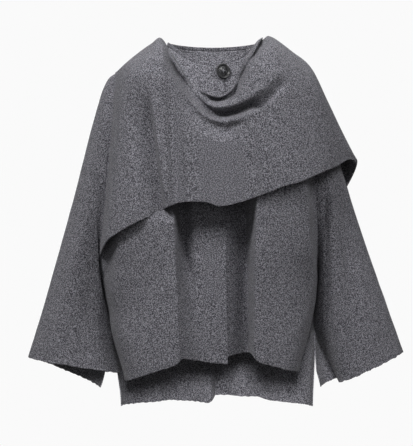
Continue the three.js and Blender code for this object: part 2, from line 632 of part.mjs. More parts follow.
async function button() {
  const { radius, thick, rim, dish, holeRadius, holeOffset } = BUTTON;
  const outline = [
    [0, 0], [radius - 1.6, 0], [radius - 0.4, 0.8], [radius, thick / 2], [radius - 0.5, thick - 0.6],
    [radius - 1.4, thick], [radius - rim, thick - 0.2], [radius - rim - 1.2, thick - dish],
    [0, thick - dish - 0.3],
  ].map(([r, h]) => new THREE.Vector2(r, h));
  const disc = new THREE.LatheGeometry(outline, 24);
  const wasm = await Module();
  wasm.setup();
  const toSolid = (geometry) => {
    geometry.deleteAttribute('normal');
    geometry.deleteAttribute('uv');
    const merged = mergeVertices(geometry, 1e-4);
    return new wasm.Manifold(new wasm.Mesh({
      numProp: 3,
      vertProperties: new Float32Array(merged.attributes.position.array),
      triVerts: new Uint32Array(merged.index.array),
    }));
  };
  let solid = toSolid(disc);
  for (let i = 0; i < 4; i += 1) {
    const hole = new THREE.CylinderGeometry(holeRadius, holeRadius, 3 * thick, 10);
    const angle = Math.PI / 4 + i * Math.PI / 2;
    hole.translate(holeOffset * Math.cos(angle), 0, holeOffset * Math.sin(angle));
    solid = solid.subtract(toSolid(hole));
  }
  const cut = solid.getMesh();
  const geometry = new THREE.BufferGeometry();
  geometry.setAttribute('position', new THREE.BufferAttribute(cut.vertProperties, 3));
  geometry.setIndex(new THREE.BufferAttribute(cut.triVerts, 1));
  const mesh = solidMesh('button', geometry, COLOURS.button, 0.35);

  // It stands off the right front on its thread, turned a little to the left.
  const share = (BUTTON.drop - BAND_HEIGHT) / (FRONT_CENTRE[0].z - FRONT_CENTRE[1].z);
  const across = 1 - angleAt(LEFT, share, BUTTON.x);
  const seat = bodyPoint('front', across, share, FRONT_FOLDS, RIGHT_FRONT_HEM);
  const facing = new THREE.Vector3(0, 0, 1).applyEuler(
    new THREE.Euler(radians(90 - BUTTON.pitch), 0, radians(BUTTON.yaw), 'ZYX'));
  mesh.quaternion.setFromUnitVectors(new THREE.Vector3(0, 1, 0), facing);
  mesh.position.copy(seat).addScaledVector(facing, BUTTON.standOff);
  return mesh;
}

// ---------------------------------------------------------------- the coat

const coat = new THREE.Group();
coat.add(...bodyPanels(), neckBand(), ...sleeves(), ...shawl(), await button());

export default coat;
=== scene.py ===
import math

import bmesh
import bpy
import numpy as np
from bpy.props import FloatProperty, FloatVectorProperty, PointerProperty
from mathutils import Matrix, Vector


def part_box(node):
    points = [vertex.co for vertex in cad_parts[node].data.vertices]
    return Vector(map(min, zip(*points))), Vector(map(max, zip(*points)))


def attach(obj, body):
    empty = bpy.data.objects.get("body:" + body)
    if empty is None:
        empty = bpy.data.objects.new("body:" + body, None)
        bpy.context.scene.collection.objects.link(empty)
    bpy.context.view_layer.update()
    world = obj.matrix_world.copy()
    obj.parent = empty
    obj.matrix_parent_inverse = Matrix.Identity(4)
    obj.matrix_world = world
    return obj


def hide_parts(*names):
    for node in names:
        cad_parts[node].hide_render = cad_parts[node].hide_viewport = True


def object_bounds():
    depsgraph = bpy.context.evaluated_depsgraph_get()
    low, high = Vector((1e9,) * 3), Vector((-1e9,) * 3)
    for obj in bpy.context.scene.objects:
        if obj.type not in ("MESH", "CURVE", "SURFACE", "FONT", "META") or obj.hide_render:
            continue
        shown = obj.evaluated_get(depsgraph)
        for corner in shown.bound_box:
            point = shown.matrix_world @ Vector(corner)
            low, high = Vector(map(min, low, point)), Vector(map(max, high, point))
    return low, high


bl_info = {
    "name": "Knit coat",
    "version": (1, 0, 0),
    "blender": (4, 5, 0),
    "location": "View3D > Sidebar > Knit coat",
    "description": "Dresses the frame of a worn knit coat with its cloth, binding and button",
    "category": "Add Mesh",
}

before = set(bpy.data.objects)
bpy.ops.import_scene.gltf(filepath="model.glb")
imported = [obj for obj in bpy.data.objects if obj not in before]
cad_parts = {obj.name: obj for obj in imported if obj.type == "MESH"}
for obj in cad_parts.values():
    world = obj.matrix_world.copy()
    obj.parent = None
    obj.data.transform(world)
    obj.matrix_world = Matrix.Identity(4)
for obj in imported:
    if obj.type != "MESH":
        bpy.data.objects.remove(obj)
CAD_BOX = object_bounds()
MM = 0.001


# ---------------------------------------------------------------- numbers and tables

def table(names, *rows):
    """A table's named columns, each as an array."""
    return dict(zip(names.split(), np.array(rows, float).T))


def ease(value, low, high):
    """0 at low, 1 at high, smooth between."""
    share = np.clip((value - low) / (high - low), 0, 1)
    return share * share * (3 - 2 * share)


def blend(a, b, share):
    return a + (b - a) * share


def column(values, at):
    """Value of a column at fractional rows, rounded through the rows."""
    values = np.asarray(values, float)
    last = len(values) - 1
    at = np.clip(at, 0, last)
    low = np.minimum(at.astype(int), last - 1)

    def pick(step):
        return values[np.clip(low + step, 0, last)]

    t = at - low
    slope_a = (pick(1) - pick(-1)) / 2
    slope_b = (pick(2) - pick(0)) / 2
    return ((2 * t**3 - 3 * t**2 + 1) * pick(0) + (t**3 - 2 * t**2 + t) * slope_a
            + (3 * t**2 - 2 * t**3) * pick(1) + (t**3 - t**2) * slope_b)


def along(line, at, from_key="x", to_key="z"):
    """Value that a line has where its other column reaches a place, straight between its rows."""
    order = np.argsort(line[from_key])
    return np.interp(at, line[from_key][order], line[to_key][order])


def swell(distance, before, after):
    """Height of a fold's section at a signed distance from its line."""
    share = np.where(distance < 0, -distance / before, distance / after)
    return np.where(share < 1, (1 - np.minimum(share, 1) ** 2) ** 2, 0)


def stack(*parts):
    return np.stack(np.broadcast_arrays(*parts), -1).astype(float)


# Waves that make an uneven line: how fast each runs, and how far a seed shifts it.
WANDER_WAVES = ((1.0, 0.0), (2.3, 1.7), (0.61, 4.1), (3.9, 2.9))
WANDER_SUM = 2.6             # brings their sum to about 1 high


def wander(at, seed):
    """A smooth uneven line about 0, about 1 high, for edges and slack cloth."""
    return sum(np.sin(rate * at + shift * seed) for rate, shift in WANDER_WAVES) / WANDER_SUM


# ---------------------------------------------------------------- the coat's sizes, in millimetres

SHOULDER_Y = 4
UNDERARM_Y = 6
LAYER = 3.6                  # from a panel's face to the panel lying under it
RIGHT = dict(sign=-1, neck_x=90, yoke_x=140, tip_x=184, underarm_x=224, underarm_z=-450)
LEFT = dict(sign=1, neck_x=92, yoke_x=140, tip_x=186, underarm_x=206, underarm_z=-455)
NECK_Z = 1
YOKE_Z = -20
TIP_Z = -50
ARMHOLE_BOW = {"front": -62, "back": 66}
SEAM_FALLOFF = 6             # how fast a side edge passes from its sewn line to the rounded one
FOLDS_START = 0.14           # share of the way in from a side edge over which folds start
LAP_FADE = (30, 54)          # where along x the left front comes level with the right one
# The neck's binding, in millimetres, and how far it leans in for each millimetre that it rises.
BAND = dict(height=7, wall=3, edge=1.2, lean=0.18)

# Places down a panel: neck, yoke, shoulder tip, three through the armhole, underarm, slit, low, hem.
TIP = 2
UNDERARM = 6
SLIT = 7
LOW = 8
HEM = 9

# Centre line at each place, and how square each section is.
CENTRE = {
    "front": table(
        "y z square", (-88, -44, 1.0), (-99, -80, 1.1), (-109, -130, 1.2), (-113, -180, 1.2),
        (-108, -262, 1.1), (-104, -392, 1.0), (-104, -450, 0.95), (-104, -510, 0.95),
        (-104, -560, 1.05), (-103, -612, 1.2)),
    "back": table(
        "y z square", (62, -4, 1.0), (86, -50, 1.1), (100, -110, 1.2), (106, -180, 1.2),
        (108, -262, 1.2), (104, -392, 1.2), (100, -450, 1.2), (97, -510, 1.3),
        (94, -560, 1.4), (92, -695, 1.4)),
}
# Share by which the back swells past its side edges below the underarm.
SIDE_SLACK = table("z swell", (-455, 0), (-470, 0.1), (-488, 0.15), (-508, 0.15),
                   (-532, 0.12), (-556, 0))

# Side edges below the underarm: sewn down to the slit, then parted.
SIDE_EDGE = {
    "right front": [(-207, 4, -506), (-196, -8, -560), (-172, -30, -646)],
    "right back": [(-207, 4, -506), (-197, 18, -560), (-181, 42, -704)],
    "left front": [(199, 4, -506), (187, -6, -560), (167, -30, -629)],
    "left back": [(199, 4, -506), (201, 18, -560), (197, 42, -705)],
}
# The right front laps over the left front.
OPENING = dict(over_top=20, over_hem=28, under_top=-24, under_hem=-26)

# Folds that run down a panel: depth (negative stands forward), reach before and after the line,
# which is toward -X and +X, the heights between which the fold grows, and its line, or the edges of
# its flat top. Some fade again between two heights, to a share of their depth.
NEVER_FADES = (-1000, -1001, 0)
FRONT_FOLDS = [
    dict(depth=-40, before=26, grows=(-285, -345), edges=table(
        "z start end after", (-300, -165, -80, 14), (-345, -172, -75, 14), (-400, -180, -72, 20),
        (-470, -187, -70, 36), (-560, -179, -66, 44), (-646, -157, -62, 48))),
    dict(depth=22, before=12, after=28, grows=(-200, -290), fades=(-370, -500, 0.3), line=table(
        "z x", (-300, -64), (-400, -60), (-640, -54))),
    dict(depth=26, before=42, after=8, grows=(-220, -300), line=table(
        "z x", (-300, 62), (-640, 66))),
    dict(depth=-42, before=11, grows=(-180, -260), edges=table(
        "z start end after", (-250, 82, 168, 24), (-332, 82, 182, 24), (-440, 80, 190, 24),
        (-503, 79, 183, 24), (-629, 78, 152, 24))),
]
BACK_FOLDS = [
    dict(depth=-24, before=50, after=10, grows=(-430, -700), line=table(
        "z x", (-400, -6), (-700, -6))),
    dict(depth=-14, before=32, after=34, grows=(-380, -700), line=table(
        "z x", (-400, 60), (-700, 56))),
    dict(depth=-12, before=34, after=40, grows=(-300, -600), line=table(
        "z x", (-300, -108), (-700, -118))),
    dict(depth=-9, before=26, after=30, grows=(-300, -600), line=table(
        "z x", (-300, 122), (-700, 128))),
]

RIGHT_FRONT_HEM = table("x z", (-170, -646), (-120, -629), (-69, -611), (-57, -600),
                        (-25, -606), (4, -611), (28, -613))
LEFT_FRONT_HEM = table("x z", (-26, -600), (28, -598), (51, -593), (72, -591),
                       (84, -606), (109, -614), (167, -629))
BACK_HEM = table("x z", (-181, -704), (-85, -697), (-30, -699), (-6, -701),
                 (4, -686), (90, -690), (112, -697), (197, -705))

# Sleeve rings from armhole to cuff: overarm and underarm lines, and the depth of each half.
RIGHT_SLEEVE = table(
    "over_x over_z under_x under_z front back",
    (-184, -50, -224, -450, 62, 66), (-204, -63, -225, -461, 62, 66),
    (-219, -99, -224, -472, 61, 65), (-239, -167, -216, -488, 60, 64),
    (-260.5, -253, -206.5, -508, 58, 62), (-284.5, -344, -199.5, -532, 56, 60),
    (-315, -452, -194.5, -556, 54, 58), (-338, -532, -192, -598, 53, 57),
    (-361, -606, -188, -638, 52, 56))
LEFT_SLEEVE = table(
    "over_x over_z under_x under_z front back",
    (186, -50, 206, -455, 62, 66), (200, -77, 206.5, -463, 62, 66),
    (214, -118, 204.5, -472, 61, 65), (234, -175, 201.5, -486, 60, 64),
    (249, -232, 198, -504, 58, 62), (269.5, -300, 196.5, -528, 56, 60),
    (299, -390, 198.5, -556, 54, 58), (333, -487, 221, -602, 53, 57),
    (371, -595, 244, -653, 52, 56))
# The inner seam opens at ring 6, and each slit edge moves off the underarm line from there.
RIGHT_SLIT = {
    "front": table("ring x y z", (6, 0, 0, 0), (7, 3, -10, 2), (8, 8, -26, 5)),
    "back": table("ring x y z", (6, 0, 0, 0), (7, -13, 15, -11), (8, -33, 36, -30)),
}
LEFT_SLIT = {
    "front": table("ring x y z", (6, 0, 0, 0), (7, 0, -10, 0), (8, 0, -26, 0)),
    "back": table("ring x y z", (6, 0, 0, 0), (6.5, -11, 10, 0), (7, -20.5, 19, -1),
                  (7.5, -31, 26, -5), (8, -33, 32, -13)),
}
LEFT_SLEEVE_FOLDS = [
    dict(depth=-9, before=16, after=30, grows=(-230, -330), line=table(
        "z x", (-250, 228), (-600, 240))),
    dict(depth=-5, before=26, after=30, grows=(-330, -480), line=table(
        "z x", (-300, 252), (-640, 322))),
]
RIGHT_SLEEVE_FOLDS = [
    dict(depth=-6, before=30, after=26, grows=(-260, -420), line=table(
        "z x", (-250, -236), (-640, -318))),
    dict(depth=5, before=24, after=26, grows=(-300, -460), line=table(
        "z x", (-300, -214), (-640, -258))),
]

# Shawl panel: each row is a line down the cloth from its upper to its lower edge, the drop over
# which it turns from the top of the shoulder to the front, and the radius of its rolled upper edge.
SHAWL = table(
    "x y z low_x low_y low_z turn roll",
    (-190, -2, -51, -221, -44, -412, 50, 1), (-167, 0, -31, -202, -107, -378, 52, 5),
    (-142, 2, -11, -165, -134, -353, 62, 6.5), (-119, 2, 5.5, -120, -144, -331, 78, 11),
    (-101, -5, 15.5, -92, -148, -317, 90, 12), (-78, -68, -18, -68, -151, -307, 95, 3),
    (-45, -104, -66, -44, -152, -304, 95, 0), (-12, -122, -95, -16, -153, -305, 95, 0),
    (17, -128, -102, 14, -153, -312, 95, 0), (46, -110, -72, 56, -153, -304, 95, 0),
    (68, -78, -20, 94, -151, -290, 95, 0), (91, -24, 13, 128, -148, -277, 95, 0),
    (113, -2, 18, 164, -138, -266, 95, 0), (152, 2, -9, 197, -118, -252, 90, 0),
    (190, 2, -41, 224, -94, -241, 80, 0), (222, 4, -104, 243, -70, -232, 70, 0),
    (248, 6, -158, 260, -44, -222, 45, 0), (268, 8, -197, 272, -22, -222, 20, 0),
    (280, 10, -219, 281, 0, -229, 8, 0))
TURN_SHARE = 0.45            # share of the way down that the turn over the shoulder takes
ROLL_SHARE = 0.07            # share of the way down that the rolled upper edge takes
SHAWL_ROLL_ANGLE = 1.9       # how far that edge rolls round, in radians
SHAWL_SEAM_LIFT = 1.6 * LAYER    # from the armhole's line to the shawl's first line
SHAWL_SEAM_ROWS = 0.7        # rows over which the shawl leaves the line of the armhole

# Cowl folds across the shawl. Each crease has a line, a depth and its reach above and below, and
# the roll over it hangs down by sag and stands forward by lip. fade gives the lengths of x over
# which it starts and ends. lean is the sideways share of its depth where the cloth turns round the
# left of the neck. At the right of the neck a crease ends as a step: the cloth inside its line lies
# deeper.
COWL_FOLDS = [
    dict(depth=21, above=7, below=13, sag=3, lip=4, fade=(14, 6), lean=-0.7, step=0, line=table(
        "x z", (-58, -46), (-45, -62), (-34, -79), (-22, -92), (-9, -103), (3, -108),
        (16, -108), (28, -103), (38, -95), (44, -84), (49, -73), (56, -60), (70, -36),
        (84, -12), (98, 12), (106, 22))),
    dict(depth=32, above=24, below=15, sag=7, lip=6, fade=(30, 150), lean=0, step=9, line=table(
        "x z", (-97, 0), (-91, -10), (-82, -35), (-66, -63), (-50, -85), (-34, -104),
        (-19, -120), (-3, -132), (13, -137), (28, -136), (44, -132), (60, -127), (76, -120),
        (92, -112), (107, -101), (123, -87), (136, -76), (166, -58))),
    dict(depth=9, above=26, below=26, sag=2, lip=2, fade=(40, 50), lean=0, step=0, line=table(
        "x z", (-90, -70), (-60, -108), (-34, -139), (-15, -155), (7, -166), (28, -168),
        (60, -158), (84, -148))),
]
# Along x, the stretches over which the cowl's folds change from one form to another.
REACH_GROWS = (-95, -35)     # the reach above a crease grows to all of it, from the least share
REACH_LEAST = 0.35
STEP_STARTS = (-105, -92)
STEP_ENDS = (-70, -40)
STEP_HALF_WIDTH = 3          # across the crease, not along x
LEAN_STARTS = (50, 85)
DROP_STARTS = (70, 92)       # what is pressed in also drops here, by a share of its depth
DROP_SHARE = 0.8
SLOPE_REACH = 5              # to each side of a place where a line's slope is taken
# Shares of a crease's reach above: how far its own hollow goes up, how high over the crease the
# middle of the roll is, and the roll's reach up and down from there.
HOLLOW_UP = 0.8
ROLL_MIDDLE = 0.55
ROLL_UP = 0.6
ROLL_DOWN = 0.5

# The one pleat down the shawl. It grows between two shares of the way from its top to the hem.
SHAWL_PLEAT = dict(top_x=-124, hem_x=-95, top_z=-100, hem_z=-318, depth=25, before=52, after=7,
                   grows=(-0.12, 0.35))

# Button: how it is turned on the cloth, the radius of its holes and how far they lie from its
# middle, the radius of its thread, how high that stands, and each strand's length in ways from the
# middle to a hole. Then its section, from the front's middle out over the raised centre, the groove
# and the rim, and back to the middle behind.
BUTTON = dict(yaw=24, pitch=9, hole=1.3, hole_offset=3.4, thread=0.7, thread_rise=0.8,
              thread_reach=1.3)
BUTTON_PROFILE = [
    (0, 0.4), (7.8, 0.4), (8.8, 0), (9.4, -0.9), (10.6, -0.9), (11.4, 1.2), (12.4, 2), (13.6, 2),
    (14.6, 1.4), (15, 0.2), (14.5, -1.3), (13.4, -2), (0, -2)]

# Shawl end down the back, from the shoulder line.
TAIL = table(
    "back_x back_y back_z low_x low_y low_z bulge",
    (84, 116, -150, 62, 120, -432, 0), (116, 115, -160, 98, 122, -436, 0),
    (152, 110, -176, 136, 118, -440, 0), (188, 102, -196, 172, 112, -444, 0),
    (216, 94, -222, 202, 100, -448, 0), (241, 84, -254, 226, 90, -450, 2),
    (252, 77, -282, 237, 84, -452, 5), (250, 72, -300, 240, 80, -454, 9))
TAIL_START = 11              # row of the shawl where its end starts over the shoulder
TAIL_FOLDS_START = 0.25      # share of the hanging cloth over which its folds start
TAIL_FOLDS = [
    dict(depth=9, before=20, after=24, grows=(-150, -380), line=table(
        "z x", (-150, 106), (-430, 92))),
    dict(depth=9, before=24, after=22, grows=(-190, -400), line=table(
        "z x", (-190, 174), (-440, 158))),
]


# ---------------------------------------------------------------- forms of the body panels

def fold_section(fold, x, z):
    """Share of a fold's depth across the panel at one height."""
    if "line" in fold:
        return swell(x - along(fold["line"], z, "z", "x"), fold["before"], fold["after"])
    start, end, after = (along(fold["edges"], z, "z", key) for key in ("start", "end", "after"))
    return ease(x, start - fold["before"], start) * (1 - ease(x, end, end + after))


def folds_down(folds, x, z):
    """Depth of the folds that run down a panel."""
    total = np.zeros_like(x)
    for fold in folds:
        grown = ease(-z, -fold["grows"][0], -fold["grows"][1])
        high, low, kept = fold.get("fades", NEVER_FADES)
        grown *= 1 - (1 - kept) * ease(-z, -high, -low)
        total += fold["depth"] * grown * fold_section(fold, x, z)
    return total


def armhole(side, face, angle):
    """Armhole at an angle from the shoulder tip round to the underarm."""
    fall = (1 - np.cos(angle)) / 2
    return stack(
        side["sign"] * blend(side["tip_x"], side["underarm_x"], fall),
        blend(SHOULDER_Y, UNDERARM_Y, fall) + ARMHOLE_BOW[face] * np.sin(angle),
        blend(TIP_Z, side["underarm_z"], fall))


def side_edge(side, face, place):
    """A side edge rounded through its corners, and the same edge as it is sewn."""
    sign = side["sign"]
    name = ("right " if sign < 0 else "left ") + face
    quarter = math.pi / (UNDERARM - TIP)
    corners = np.vstack([
        [(sign * side["neck_x"], SHOULDER_Y, NECK_Z), (sign * side["yoke_x"], SHOULDER_Y, YOKE_Z)],
        armhole(side, face, np.arange(UNDERARM - TIP + 1) * quarter),
        SIDE_EDGE[name]])
    rounded = stack(*(column(corners[:, axis], place) for axis in range(3)))
    low = np.clip(place.astype(int), 0, HEM - 1)
    straight = corners[low] + (corners[low + 1] - corners[low]) * (place - low)[:, None]
    sewn = np.where((place < SLIT)[:, None], straight, rounded)
    on_armhole = (place > TIP) & (place < UNDERARM)
    sewn = np.where(on_armhole[:, None], armhole(side, face, (place - TIP) * quarter), sewn)
    return rounded, sewn


def bow(angle, square):
    """Share of the way from side to centre that a section has come at an angle."""
    return 1 - (1 - np.sin(angle)) ** square


def cut_angle(face, place, edge_y):
    """Angle at which the armhole cuts a section of the body's round off."""
    square = column(CENTRE[face]["square"], place)
    centre_y = column(CENTRE[face]["y"], place)
    side_y = blend(SHOULDER_Y, UNDERARM_Y, (place - TIP) / (UNDERARM - TIP))
    share = np.clip((edge_y - side_y) / (centre_y - side_y), 0, 1)
    cut = np.arcsin(1 - (1 - share) ** (1 / square))
    return np.where((place > TIP) & (place < UNDERARM), cut, 0)


def inward_at(side, place, x):
    """How far in from the side edge the front reaches x: 0 at the side, 1 at the centre."""
    rounded, _ = side_edge(side, "front", place)
    cut = cut_angle("front", place, rounded[:, 1])
    share = np.abs(x) * np.cos(cut) / np.abs(rounded[:, 0])
    return (np.arccos(share) - cut) / (math.pi / 2 - cut)


def half_body(side, face, inward, place, hem):
    """Points of one half of the body, without folds."""
    rounded, sewn = side_edge(side, face, place)
    centre = CENTRE[face]
    cut = cut_angle(face, place, rounded[:, 1])
    square = column(centre["square"], place)
    angle = blend(cut, math.pi / 2, inward)
    rise = (bow(angle, square) - bow(cut, square)) / (1 - bow(cut, square))
    fall = (np.sin(angle) ** 2 - np.sin(cut) ** 2) / np.cos(cut) ** 2
    slack = along(SIDE_SLACK, rounded[:, 2], "z", "swell") if face == "back" else 0
    points = stack(
        rounded[:, 0] * (1 + slack * np.sin(2 * angle) ** 2) * np.cos(angle) / np.cos(cut),
        blend(rounded[:, 1], column(centre["y"], place), rise),
        blend(rounded[:, 2], column(centre["z"], place), fall))
    points += (sewn - rounded) * ((1 - inward) ** SEAM_FALLOFF)[:, None]
    low_edge, _ = side_edge(side, face, np.full_like(place, LOW))
    low_z = blend(low_edge[:, 2], centre["z"][LOW], fall)
    to_hem = blend(low_z, along(hem, points[:, 0]), place - LOW)
    points[:, 2] = np.where(place > LOW, to_hem, points[:, 2])
    return points


def body(face, across, place, hem, folds):
    """Points of the body: across runs from -1 at the right side edge to 1 at the left one."""
    points = np.empty((len(across), 3))
    inward = 1 - np.abs(across)
    for side, mine in ((RIGHT, across < 0), (LEFT, across >= 0)):
        points[mine] = half_body(side, face, inward[mine], place[mine], hem)
    depth = folds_down(folds, points[:, 0], points[:, 2])
    points[:, 1] += ease(inward, 0, FOLDS_START) * depth
    return points


def front_right(u, v):
    """The right front runs over the left front as far as the opening edge."""
    place = v * HEM
    edge_x = blend(OPENING["over_top"], OPENING["over_hem"], v)
    reach = 1 - inward_at(LEFT, place, edge_x)
    return body("front", blend(-1, reach, u), place, RIGHT_FRONT_HEM, FRONT_FOLDS)


def front_left(u, v):
    """The left front starts behind the right front, one layer in."""
    place = v * HEM
    edge_x = blend(OPENING["under_top"], OPENING["under_hem"], v)
    start = inward_at(RIGHT, place, edge_x) - 1
    points = body("front", blend(start, 1, u), place, LEFT_FRONT_HEM, FRONT_FOLDS)
    points[:, 1] += LAYER * (1 - ease(points[:, 0], *LAP_FADE))
    return points


def back(u, v):
    return body("back", 1 - 2 * u, v * HEM, BACK_HEM, BACK_FOLDS)


def neck_line(u):
    """The neck seam from the left front's lap round the back to the right front's edge."""
    zero = np.zeros(1)
    start = float(inward_at(RIGHT, zero, OPENING["under_top"])[0]) - 1
    end = 1 - float(inward_at(LEFT, zero, OPENING["over_top"])[0])
    lengths = np.array([1 - start, 2, 1 + end])
    ends = np.cumsum(lengths)
    way = u * ends[-1]
    points = np.empty((len(u), 3))
    for panel, length, last in zip((front_left, back, front_right), lengths, ends):
        mine = (way >= last - length) & (way <= last)
        share = (way[mine] - last + length) / length
        points[mine] = panel(share, np.zeros_like(share))
    return points


# ---------------------------------------------------------------- forms of the sleeves

def sleeve(rings, slit, face, folds, from_over):
    """Surface of one half of a sleeve, from the armhole down to the cuff."""
    def surface(u, v):
        angle = math.pi * (u if from_over else 1 - u)
        ring = v * (len(rings["front"]) - 1)
        value = {key: column(rings[key], ring) for key in rings}
        over = stack(value["over_x"], SHOULDER_Y, value["over_z"])
        under = stack(value["under_x"], UNDERARM_Y, value["under_z"])
        under += stack(*(along(slit[face], ring, "ring", key) for key in "xyz"))
        points = blend(over, under, ((1 - np.cos(angle)) / 2)[:, None])
        points[:, 1] += (-value["front"] if face == "front" else value["back"]) * np.sin(angle)
        points[:, 1] += np.sin(angle) * folds_down(folds, points[:, 0], points[:, 2])
        return points
    return surface


# ---------------------------------------------------------------- forms of the shawl panel

def cowl(points):
    """Presses the cowl folds into the shawl and hangs the roll over each."""
    x = points[:, 0].copy()
    z = points[:, 2].copy()
    for fold in COWL_FOLDS:
        line = fold["line"]
        rise = along(line, x + SLOPE_REACH) - along(line, x - SLOPE_REACH)
        slope = rise / (2 * SLOPE_REACH)
        distance = (along(line, x) - z) / np.hypot(1, slope)
        first, last = line["x"][0], line["x"][-1]
        fade = ease(x, first, first + fold["fade"][0]) * (1 - ease(x, last - fold["fade"][1], last))
        above = fold["above"] * (REACH_LEAST + (1 - REACH_LEAST) * ease(x, *REACH_GROWS))
        roll = fade * swell(distance + ROLL_MIDDLE * above, ROLL_UP * above, ROLL_DOWN * above)
        hollow = swell(distance, HOLLOW_UP * above, fold["below"])
        push = fade * fold["depth"] * hollow - fold["lip"] * roll
        inside = 1 - ease(distance, -STEP_HALF_WIDTH, STEP_HALF_WIDTH)
        push += fold["step"] * inside * ease(x, *STEP_STARTS) * (1 - ease(x, *STEP_ENDS))
        lean = fold["lean"] * ease(x, *LEAN_STARTS)
        points[:, 0] += push * lean
        points[:, 1] += push * np.sqrt(1 - lean**2)
        points[:, 2] -= fold["sag"] * roll + DROP_SHARE * ease(x, *DROP_STARTS) * push


def pleat_depth(x, z):
    """How far the shawl's pleat is pressed in."""
    pleat = SHAWL_PLEAT
    down = (pleat["top_z"] - z) / (pleat["top_z"] - pleat["hem_z"])
    off = x - blend(pleat["top_x"], pleat["hem_x"], down)
    return pleat["depth"] * ease(down, *pleat["grows"]) * swell(off, pleat["before"], pleat["after"])


def shawl_front(u, v):
    """Surface of the shawl from its upper edge down the front."""
    place = u * (len(SHAWL["x"]) - 1)
    value = {key: column(SHAWL[key], place) for key in SHAWL}
    way = np.maximum((v - ROLL_SHARE) / (1 - ROLL_SHARE), 0)
    length = value["z"] - value["low_z"]
    turned = np.clip(way / TURN_SHARE, 0, 1) * math.pi / 2
    rest = np.clip((way - TURN_SHARE) / (1 - TURN_SHARE), 0, 1)
    drop = value["turn"] * (1 - np.cos(turned)) + (length - value["turn"]) * rest
    share = drop / length
    points = stack(
        blend(value["x"], value["low_x"], share),
        blend(value["y"], value["low_y"], np.sin(turned)),
        blend(value["z"], value["low_z"], share))
    rolled = np.maximum(1 - v / ROLL_SHARE, 0) * SHAWL_ROLL_ANGLE
    points[:, 1] += value["roll"] * np.sin(rolled)
    points[:, 2] -= value["roll"] * (1 - np.cos(rolled))
    points[:, 1] += pleat_depth(points[:, 0], points[:, 2])
    cowl(points)
    # The first line follows the armhole, a little off it.
    follow = 1 - ease(place, 0, SHAWL_SEAM_ROWS)
    fall = np.clip((TIP_Z - points[:, 2]) / (TIP_Z - RIGHT["underarm_z"]), 0, 1)
    seam_y = armhole(RIGHT, "front", np.arccos(1 - 2 * fall))[:, 1]
    points[:, 1] = blend(points[:, 1], seam_y - SHAWL_SEAM_LIFT, follow)
    return points


def shawl_tail(u, v):
    """Surface of the shawl's end from the shoulder line down the back."""
    rows = len(TAIL["low_x"]) - 1
    place = u * rows
    value = {key: column(TAIL[key], place) for key in TAIL}
    top = shawl_front((TAIL_START + place) / (len(SHAWL["x"]) - 1), np.zeros_like(u))
    turn = stack(value["back_x"], value["back_y"], value["back_z"])
    low = stack(value["low_x"], value["low_y"], value["low_z"])
    angle = np.clip(v / TURN_SHARE, 0, 1) * math.pi / 2
    points = blend(top, turn, (1 - np.cos(angle))[:, None])
    points[:, 1] = blend(top[:, 1], turn[:, 1], np.sin(angle))
    points[:, 0] += value["bulge"] * np.sin(2 * angle)
    hanging = np.clip((v - TURN_SHARE) / (1 - TURN_SHARE), 0, 1)
    points = blend(points, low, hanging[:, None])
    folds = folds_down(TAIL_FOLDS, points[:, 0], points[:, 2])
    points[:, 1] += np.minimum(hanging / TAIL_FOLDS_START, 1) * folds
    return points


# ---------------------------------------------------------------- laying cloth

FINE_STEPS = 6               # steps measured for each even step that is laid
GRADED_STEPS = 400
# Dents in slack cloth, in millimetres: how deep, and the length of cloth that gives their waves.
SLACK = dict(depth=0.8, across=34, slant=122, down=43)
# A cut edge strays in a long wave and a short one: height, length and shift of the seed.
EDGE_WAVES = ((0.8, 8, 0), (0.7, 2.1, 3))
MERGE = 0.00002              # points nearer than this, in metres, are one


def even(surface, fixed, count, way):
    """Parameters at even steps of cloth along one line of a surface."""
    fine = np.linspace(0, 1, FINE_STEPS * count + 1)
    held = np.full_like(fine, fixed)
    points = surface(fine, held) if way == "u" else surface(held, fine)
    run = np.concatenate([[0], np.cumsum(np.linalg.norm(np.diff(points, axis=0), axis=1))])
    return np.interp(np.linspace(0, run[-1], count + 1), run, fine)


def graded(surface, fixed, *stretches):
    """Steps down a surface in stretches of cloth, each (share of the length reached, count)."""
    shares = [0.0]
    for to, count in stretches:
        shares += list(np.linspace(shares[-1], to, count + 1)[1:])
    fine = even(surface, fixed, GRADED_STEPS, "v")
    return np.interp(shares, np.linspace(0, 1, GRADED_STEPS + 1), fine)


def even_grid(surface, grid):
    """Even steps across a surface and down it."""
    return (even(surface, grid["across_at"], grid["across"], "u"),
            even(surface, grid["down_at"], grid["down"], "v"))


